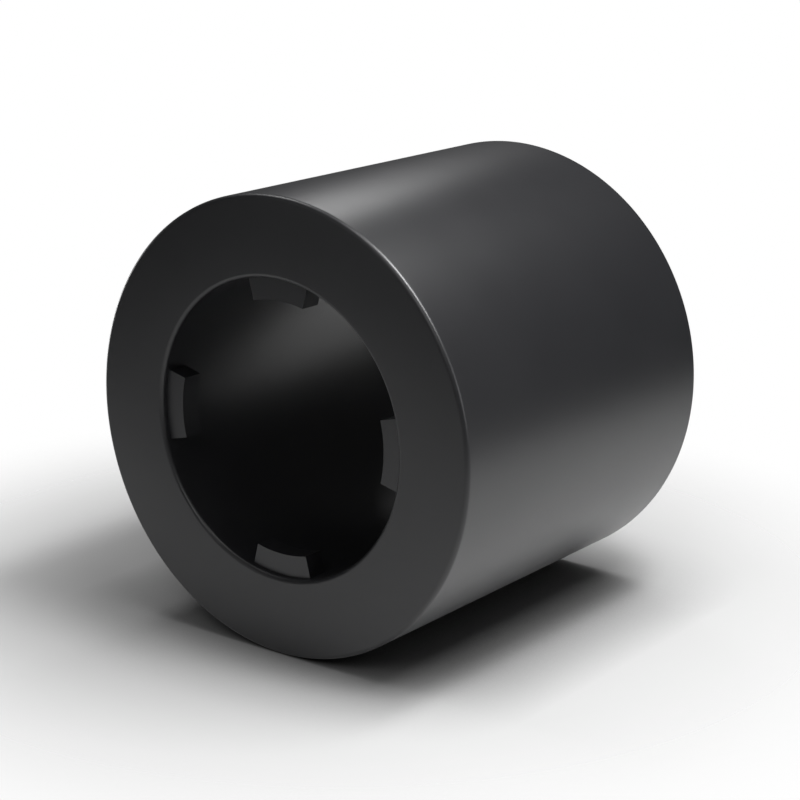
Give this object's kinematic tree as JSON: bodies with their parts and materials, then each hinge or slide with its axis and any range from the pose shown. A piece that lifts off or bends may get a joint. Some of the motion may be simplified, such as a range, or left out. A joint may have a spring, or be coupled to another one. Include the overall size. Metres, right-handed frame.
{
  "type": "self-retaining spacer bushing",
  "caption": "Short round spacer tube of black plastic, with low lugs inside one mouth of its bore that grip a screw's thread, so that it stays on the screw by itself.",
  "frame": {"origin": "centre of the plain end face, which the part stands on", "axes": "+Z along the bore towards the lugs, +X through the middle of one lug"},
  "size_m": [0.008, 0.008, 0.007],
  "materials": {
    "moulded_nylon": "black nylon, satin as it comes from the mould"
  },
  "bodies": {
    "root": {"spacer_bushing": "moulded_nylon"}
  },
  "joints": []
}
